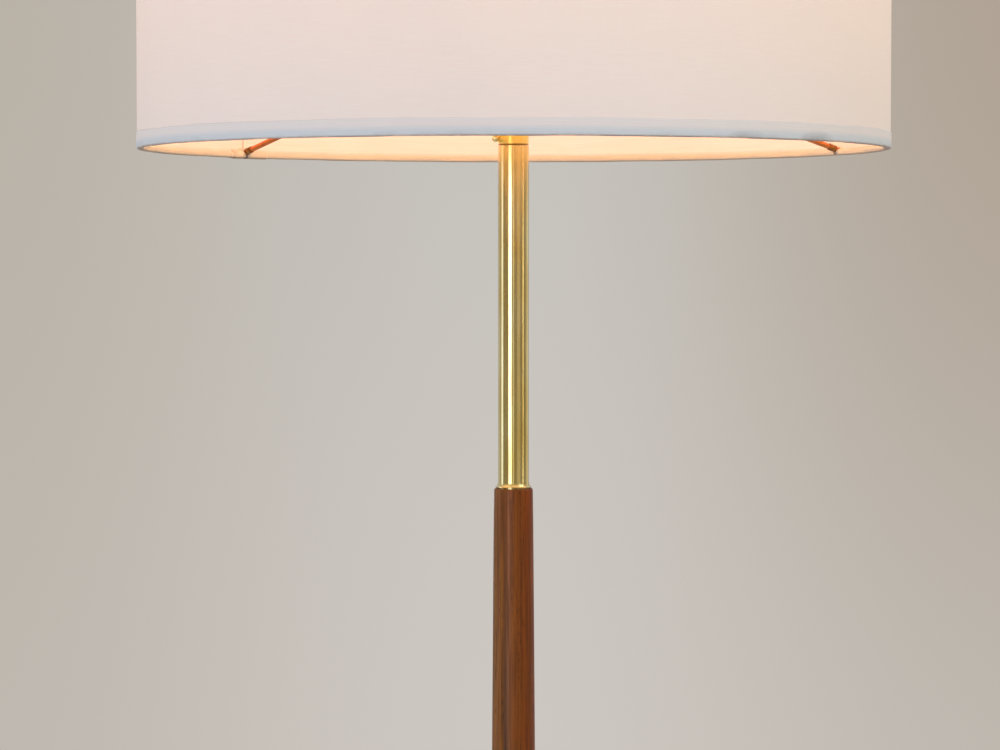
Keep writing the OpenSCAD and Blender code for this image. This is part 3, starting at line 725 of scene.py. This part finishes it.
@dataclass
class Shade:
    """The drum: wire frame, lining, cloth cover and the two folded hems."""

    rim: float = 1.216
    height: float = 0.300
    cover_radius: float = 228.4 * MM
    cover_wall: float = 0.4 * MM
    lining_radius: float = 227.9 * MM
    lining_wall: float = 0.6 * MM
    hem_radius: float = 228.8 * MM
    hem_up: float = 9.8 * MM
    lip_radius: float = 227.35 * MM
    lip_up: float = 5.4 * MM
    ring_radius: float = 226.0 * MM
    wrap: float = 1.8 * MM
    ring_up: float = 2.0 * MM
    corner: float = 1.2 * MM
    steps: int = 720
    # Directions are in degrees; a lapped end runs on for three laps and sinks away
    seam_angle: float = 141.7
    seam_width: float = 11 * MM
    flap_laps: int = 3
    flap_steps: int = 24
    hem_end_angle: float = 136.8
    hem_lap_more: float = 3.0
    arm_angles: tuple[float, ...] = (22.0, 142.0, 262.0)
    slit_half: float = 1.5 * MM
    # How far a sheet stops short of the drum's edges, and the row of faces that keeps a cut edge crisp
    inset: float = 0.4 * MM
    crisp: float = 0.35 * MM
    # How far handwork strays: cloth off the drum, the edge's wave, the outer fold's, the lip's, and its press
    slack_wave: float = 0.07 * MM
    edge_wave: float = 0.13 * MM
    fold_wave: float = 0.22 * MM
    lip_wave: float = 0.16 * MM
    press: float = 0.05 * MM
    # A tuck beside an arm: its reach, how far it is drawn in at the slit, pushed out beside it and lifted
    tuck_reach: float = 25 * MM
    tuck_in: float = 1.5 * MM
    tuck_out: float = 0.9 * MM
    tuck_up: float = 1.5 * MM
    tuck_side: float = 5.6 * MM

    def build(self) -> None:
        """Builds the fabric and dresses the frame."""
        dress(COPPER, "spider_arms")
        dress(BRAZE, "arm_welds")
        dress(BRASS_TURNED, "spider_ring")
        dress(WHITE_WIRE, "bottom_ring", "top_ring")
        self.cover()
        self.lining()
        for edge, node in ((Edge.BOTTOM, "bottom_hem"), (Edge.TOP, "top_hem")):
            self.hem(edge, node)

    @property
    def top(self) -> float:
        """Level of the top edge."""
        return self.rim + self.height

    def band(self, mesh: bmesh.types.BMesh, profile: list[tuple[float, float]], start: float, sweep: float,
             steps: int) -> list[bmesh.types.BMVert]:
        """Spins an open profile of radius and level about the Z axis.

        Args:
            mesh: The mesh that gets it.
            profile: Radius and level of each point.
            start: Angle of the first line, in radians.
            sweep: Angle that it is spun through.
            steps: Faces round the sweep.

        Returns:
            The new vertices.
        """
        before = set(mesh.verts)
        line = [mesh.verts.new((radius, 0.0, level)) for radius, level in profile]
        edges = [mesh.edges.new(pair) for pair in zip(line, line[1:])]
        bmesh.ops.rotate(mesh, cent=(0, 0, 0), matrix=Matrix.Rotation(start, 3, "Z"), verts=line)
        bmesh.ops.spin(mesh, geom=line + edges, cent=(0, 0, 0), axis=(0, 0, 1), angle=sweep, steps=steps,
                       use_merge=sweep >= TURN)
        return [v for v in mesh.verts if v not in before]

    def face_out(self, mesh: bmesh.types.BMesh) -> None:
        """Turns each loose shell so that its outermost face looks away from the axis.

        Args:
            mesh: The mesh.
        """
        left = set(mesh.faces)
        while left:
            shell, edge_of = set(), [next(iter(left))]
            while edge_of:
                face = edge_of.pop()
                if face in shell:
                    continue
                shell.add(face)
                edge_of += [f for e in face.edges for f in e.link_faces if f not in shell]
            left -= shell
            far = max(shell, key=lambda f: f.calc_center_median().xy.length)
            if far.normal.xy.dot(far.calc_center_median().xy) < 0:
                bmesh.ops.reverse_faces(mesh, faces=list(shell))

    def weave_map(self, mesh: bmesh.types.BMesh) -> None:
        """Unrolls the drum into a map in metres, split at the seam.

        Args:
            mesh: The mesh that gets the map.
        """
        layer = mesh.loops.layers.uv.new("weave")
        seam = math.radians(self.seam_angle)
        for face in mesh.faces:
            middle = face.calc_center_median()
            base = (math.atan2(middle.y, middle.x) - seam) % TURN
            for loop in face.loops:
                place = loop.vert.co
                turn = math.atan2(place.y, place.x) - seam
                turn = base + math.remainder(turn - base, TURN)
                down = self.hem_radius - place.xy.length
                loop[layer].uv = (turn * self.hem_radius, place.z - down)

    def piece(self, name: str, mesh: bmesh.types.BMesh, wall: float, finish: Finish) -> bpy.types.Object:
        """Turns a mesh into a dressed piece with a wall.

        Args:
            name: The piece's name.
            mesh: Its surface, freed here.
            wall: The wall's thickness.
            finish: Its finish.

        Returns:
            The piece, riding on the shade.
        """
        mesh.normal_update()
        self.face_out(mesh)
        self.weave_map(mesh)
        data = bpy.data.meshes.new(name)
        mesh.to_mesh(data)
        mesh.free()
        data.polygons.foreach_set("use_smooth", [True] * len(data.polygons))
        data.materials.append(finish.material())
        made = bpy.data.objects.new(name, data)
        bpy.context.scene.collection.objects.link(made)
        solid = made.modifiers.new("wall", "SOLIDIFY")
        solid.thickness, solid.offset = wall, 0.0
        solid.use_even_offset = True
        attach(made, "shade")
        log.info("%s: %d faces", name, len(data.polygons))
        return made

    def levels_between(self, low: float, high: float, count: int) -> list[float]:
        """Evenly spaced levels, with one close to each end so that a cut edge stays crisp.

        Args:
            low: The first level.
            high: The last level.
            count: Spaces between them.

        Returns:
            The levels, upwards.
        """
        even = [low + (high - low) * i / count for i in range(count + 1)]
        return [low, low + self.crisp, *even[1:-1], high - self.crisp, high]

    def cover(self) -> None:
        """The cloth, one strip round the drum with its end lapped and glued over its start."""
        mesh = bmesh.new()
        rows = self.levels_between(self.rim + self.inset, self.top - self.inset, 30)
        for v in self.band(mesh, [(self.cover_radius, z) for z in rows], 0.0, TURN, self.steps):
            self.shift(v, self.slack(v.co))
        sweep = self.flap_laps * (self.seam_width / self.cover_radius)
        out = self.cover_radius + self.cover_wall * 0.9
        clear = self.hem_up + 0.3 * MM
        lapped = self.levels_between(self.rim + clear, self.top - clear, 30)
        flap = self.band(mesh, [(out, z) for z in lapped], math.radians(self.seam_angle) - sweep, sweep,
                         self.flap_steps)
        self.taper(flap, self.seam_angle, -sweep, self.cover_wall * 1.1)
        made = self.piece("cloth_cover", mesh, self.cover_wall, CLOTH)
        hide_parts("shade_cloth")

    def taper(self, flap: list[bmesh.types.BMVert], from_angle: float, sweep: float, back: float) -> None:
        """Sinks a lapped end little by little into the layer beneath, so that only its cut edge shows.

        Args:
            flap: The lapped end's vertices.
            from_angle: Direction of the cut edge, in degrees.
            sweep: Signed angle to where it is sunk, in radians.
            back: How far it sinks, negative away from the axis.
        """
        for v in flap:
            turn = math.remainder(math.atan2(v.co.y, v.co.x) - math.radians(from_angle), TURN)
            self.shift(v, -back * smooth(0.15, 1.0, turn / sweep))

    def slack(self, place: Vector) -> float:
        """How far the stretched cloth stands off the true drum: barely, in long soft waves.

        Args:
            place: A point on it.

        Returns:
            The distance, outwards.
        """
        angle = math.atan2(place.y, place.x)
        up = (place.z - self.rim) / self.height
        wave = 0.6 * math.sin(5 * angle + 2.0 * up) + 0.4 * math.sin(11 * angle - 3.1 * up + 1.3)
        return self.slack_wave * wave * math.sin(math.pi * up)

    def shift(self, vert: bmesh.types.BMVert, out: float) -> None:
        """Moves a vertex away from the axis."""
        flat = Vector((vert.co.x, vert.co.y, 0.0)).normalized()
        vert.co += flat * out

    def lining(self) -> None:
        """The styrene sheet inside the cloth, lapped above the left arm."""
        mesh = bmesh.new()
        rows = self.levels_between(self.rim + self.inset, self.top - self.inset, 12)
        self.band(mesh, [(self.lining_radius, z) for z in rows], 0.0, TURN, self.steps // 2)
        sweep = self.flap_laps * (self.seam_width / self.lining_radius)
        inside = self.lining_radius - self.lining_wall * 0.95
        clear = self.lip_up + 0.4 * MM
        lapped = self.levels_between(self.rim + clear, self.top - clear, 12)
        flap = self.band(mesh, [(inside, z) for z in lapped], math.radians(self.seam_angle), sweep, self.flap_steps)
        self.taper(flap, self.seam_angle, sweep, -self.lining_wall * 1.15)
        made = self.piece("lining_sheet", mesh, self.lining_wall, LINING)
        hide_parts("shade_lining")

    def hem_line(self, grow: float = 0.0) -> list[tuple[float, float]]:
        """The folded hem's section from its outer fold, under the edge, round the ring wire and up the lining.

        Args:
            grow: How far it stands off a layer beneath it.

        Returns:
            Radius and height above the edge of each point.
        """
        outer, under = self.hem_radius + grow, self.ring_up - self.wrap - 0.3 * grow
        line = [(outer, self.hem_up * (1 - i / 8) + self.corner * i / 8) for i in range(8)]
        for i in range(5):
            a = math.pi / 2 * i / 4
            line.append((outer - self.corner * (1 - math.cos(a)), under + self.corner * (1 - math.sin(a))))
        wrap = self.wrap + grow
        for i in range(11):
            a = -math.pi / 2 - math.pi * i / 10
            line.append((self.ring_radius + wrap * math.cos(a), self.ring_up + wrap * math.sin(a)))
        lip = self.lip_radius - grow
        line += [(lip - 0.5 * MM, self.ring_up + self.wrap + 0.15 * MM), (lip, self.ring_up + self.wrap + 0.7 * MM),
                 (lip, self.lip_up)]
        return line

    def hem(self, edge: Edge, node: str) -> None:
        """A hem: one folded strip round the edge with a lapped end, nicked and tucked where an arm passes.

        Args:
            edge: Which edge.
            node: The CAD node that it stands for.
        """
        mesh = bmesh.new()
        line = [(r, self.rim + up) for r, up in self.hem_line()]
        self.band(mesh, line, 0.0, TURN, self.steps)
        over = [(r, self.rim + up) for r, up in self.hem_line(0.5 * MM)]
        lap = math.radians(self.seam_angle - self.hem_end_angle + self.hem_lap_more)
        self.band(mesh, over, math.radians(self.hem_end_angle), lap, 18)
        if edge is Edge.BOTTOM:
            self.nick(mesh)
        for v in mesh.verts:
            self.settle(v, edge)
        if edge is Edge.TOP:
            for v in mesh.verts:
                v.co.z = self.rim + self.top - v.co.z
            bmesh.ops.reverse_faces(mesh, faces=mesh.faces[:])
        made = self.piece(f"{edge.value}_hem_fold", mesh, self.cover_wall, HEM)
        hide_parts(node)

    def along(self, place: Vector, angle: float) -> float:
        """Signed distance round the ring from a direction in degrees to a point, in metres."""
        turn = math.remainder(math.atan2(place.y, place.x) - math.radians(angle), TURN)
        return turn * self.ring_radius

    def nick(self, mesh: bmesh.types.BMesh) -> None:
        """Opens a slit in the hem's inner half where each arm leaves the ring.

        Args:
            mesh: The hem.
        """
        gone = []
        for face in mesh.faces:
            middle = face.calc_center_median()
            inner = middle.xy.length < self.ring_radius + 1.0 * MM
            if inner and any(abs(self.along(middle, a)) < self.slit_half for a in self.arm_angles):
                gone.append(face)
        bmesh.ops.delete(mesh, geom=gone, context="FACES")

    def settle(self, vert: bmesh.types.BMVert, edge: Edge) -> None:
        """Moves a hem vertex from the true section to where hand folding leaves it.

        Args:
            vert: The vertex.
            edge: Which hem.
        """
        place = vert.co
        angle = math.atan2(place.y, place.x)
        up = place.z - self.rim
        radius = place.xy.length
        outside = smooth(self.hem_radius - 2.2 * MM, self.hem_radius - 0.8 * MM, radius)
        wave = 0.5 * math.sin(17 * angle + 0.6) + 0.3 * math.sin(31 * angle + 2.1) + 0.2 * math.sin(67 * angle)
        fold = 0.6 * math.sin(13 * angle + 1.1) + 0.4 * math.sin(43 * angle)
        place.z += self.edge_wave * wave * (1 - smooth(1 * MM, 6 * MM, up))
        place.z += self.fold_wave * fold * outside * smooth(5 * MM, 9.5 * MM, up)
        pucker = 0.06 * MM * math.sin(211 * angle) + 0.05 * MM * math.sin(97 * angle + 1.0)
        self.shift(vert, pucker * outside - self.press * smooth(6 * MM, 9.5 * MM, up) * outside)
        inner = 1 - smooth(self.ring_radius - 0.6 * MM, self.ring_radius + 1.4 * MM, radius)
        lip = 1 - outside
        raised = smooth(3.4 * MM, 5.2 * MM, up)
        place.z += self.lip_wave * lip * math.sin(149 * angle) * raised
        if edge is Edge.TOP:
            return
        for arm in self.arm_angles:
            s = self.along(place, arm)
            if abs(s) > self.tuck_reach:
                continue
            lump = -self.tuck_in * bump_at(abs(s), 2.4 * MM, 1.9 * MM)
            dip = self.tuck_out * bump_at(s, self.tuck_side if arm > 90 else -self.tuck_side, 2.6 * MM)
            self.shift(vert, (lump + dip * smooth(1.5 * MM, 4 * MM, up)) * max(inner, lip * 0.7))
            place.z += self.tuck_up * bump_at(s, 0.0, 5 * MM) * lip * raised


# ---- studio --------------------------------------------------------------------------------------------------------


DAYLIGHT: Colour = (0.80, 0.97, 1.36, 1.0)


@dataclass(frozen=True)
class Panel:
    """A soft light panel standing round the lamp, and what the polished brass mirrors as a streak."""

    name: str
    side: float  # degrees from the camera's direction, negative to its left
    distance: float
    width: float
    height: float
    level: float
    radiance: float
    colour: Colour = (1.0, 1.0, 1.0, 1.0)
    aim_top: float = 1.2

    def build(self) -> None:
        """Puts the panel up, facing the column and out of the camera's sight."""
        data = bpy.data.lights.new(self.name, "AREA")
        data.shape, data.size, data.size_y = "RECTANGLE", self.width, self.height
        data.color = self.colour[:3]
        data.energy = self.radiance * math.pi * self.width * self.height
        lamp = bpy.data.objects.new(self.name, data)
        way = math.radians(self.side)
        lamp.location = (self.distance * math.sin(way), -self.distance * math.cos(way), self.level)
        aim = Vector((0, 0, min(self.level, self.aim_top))) - lamp.location
        lamp.rotation_euler = aim.to_track_quat("-Z", "Y").to_euler()
        lamp.visible_camera = False
        bpy.context.scene.collection.objects.link(lamp)


@dataclass
class Studio:
    """Camera, floor, room light and soft panels."""

    lens: float = 101.5
    stand: Point = (-0.0083, -1.730, 1.1550)
    pitch: float = -2.531
    floor_radius: float = 4.4
    # The wall that the camera sees, low and high, with painted shade darker at its sides and in its upper right
    # corner, and the dimmer room that lights the lamp
    wall_sides: tuple[str, str] = ("#BFB8B0", "#BAB2A7")
    wall_middle: tuple[str, str] = ("#CDC7C1", "#C5C2BC")
    wall_corner: str = "#B0A395"
    room_front: Colour = (0.215, 0.205, 0.175, 1.0)
    room_back: Colour = (0.46, 0.46, 0.44, 1.0)
    room_above: Colour = (0.62, 0.65, 0.67, 1.0)
    panels: tuple[Panel, ...] = (
        Panel("window", -26.0, 3.0, 1.2, 1.3, 1.1, 3.5, DAYLIGHT),
        Panel("left_window", -92.5, 2.6, 0.8, 1.5, 1.1, 1.15, (0.78, 1.0, 1.5, 1.0)),
        Panel("opening", -2.0, 3.2, 0.42, 1.6, 1.1, 0.62, (1.0, 1.0, 0.95, 1.0)),
        Panel("right_wall", 38.0, 3.0, 1.3, 1.6, 1.1, 0.24, (1.0, 0.92, 0.78, 1.0)),
        Panel("right_strip", 75.5, 2.6, 0.15, 2.0, 1.1, 2.1, (1.0, 0.88, 0.68, 1.0)),
        Panel("right_back", 122.0, 2.8, 0.7, 1.6, 1.1, 0.3, (1.0, 0.96, 0.9, 1.0)),
        Panel("soft_left", -60.0, 2.8, 2.2, 1.2, 3.3, 0.4, (0.93, 0.98, 1.05, 1.0)),
        Panel("soft_right", 62.0, 2.8, 2.2, 1.2, 3.3, 2.9, (0.88, 1.0, 1.18, 1.0)),
        Panel("soft_back", 180.0, 2.8, 2.2, 1.2, 3.3, 1.2, (0.93, 0.98, 1.05, 1.0)),
    )

    def build(self) -> None:
        """Sets up the camera, the room and the lights."""
        self.camera()
        self.room()
        self.floor()
        for panel in self.panels:
            panel.build()
        bpy.context.scene.view_settings.view_transform = "Standard"

    def camera(self) -> None:
        """A long lens just under the shade's edge, tipped down a little."""
        data = bpy.data.cameras.new("camera")
        data.lens, data.sensor_width = self.lens, 36.0
        data.clip_start, data.clip_end = 0.05, 100.0
        cam = bpy.data.objects.new("camera", data)
        cam.location = self.stand
        cam.rotation_euler = (math.radians(90 + self.pitch), 0.0, 0.0)
        bpy.context.scene.collection.objects.link(cam)
        bpy.context.scene.camera = cam

    def room(self) -> None:
        """A pale wall for the camera with painted shade at its sides and upper right corner, and a room that is
        dimmer in front for what the brass mirrors.
        """
        world = bpy.data.worlds.new("room")
        bpy.context.scene.world = world
        world.use_nodes = True
        tree = world.node_tree
        tree.nodes.clear()
        sky = add(tree, "Background")
        add(tree, "OutputWorld", {"Surface": sky.outputs[0]})
        on = Canvas(tree, sky)
        way = add(tree, "SeparateXYZ", {0: add(tree, "TexCoord").outputs["Generated"]}).outputs
        soft = {"interpolation_type": "SMOOTHSTEP"}
        height = on.levels(way["Z"], -0.2, 0.1, **soft)
        # Painted shade: the wall is darker at its sides and in its upper right corner
        middle = on.levels(on.reckon("ABSOLUTE", way["X"]), 0.0, 0.19, 1.0, 0.0, **soft)
        corner = on.reckon("MULTIPLY", height, on.levels(way["X"], 0.02, 0.2, **soft))
        wall = on.mix(middle, on.mix(height, *self.wall_sides), on.mix(height, *self.wall_middle))
        wall = on.mix(corner, wall, self.wall_corner)
        band = on.mix(on.levels(way["Y"], -0.1, 0.6), self.room_front, self.room_back)
        room = on.mix(on.levels(way["Z"], 0.2, 0.6, **soft), band, self.room_above)
        on.feed({"Color": on.mix(add(tree, "LightPath").outputs["Is Camera Ray"], room, wall)})

    def floor(self) -> None:
        """A round pale floor."""
        mesh = bmesh.new()
        bmesh.ops.create_circle(mesh, cap_ends=True, segments=96, radius=self.floor_radius)
        data = bpy.data.meshes.new("floor")
        mesh.to_mesh(data)
        mesh.free()
        data.materials.append(FLOOR.material())
        floor = bpy.data.objects.new("floor", data)
        bpy.context.scene.collection.objects.link(floor)


def main() -> None:
    """Builds the studio and the lamp in order."""
    logging.basicConfig(level=logging.INFO, format="%(message)s")
    for part in (Studio(), Stand(), Riser(), Shade()):
        part.build()
        log.info("%s done", type(part).__name__)


if __name__ == "__main__":
    main()
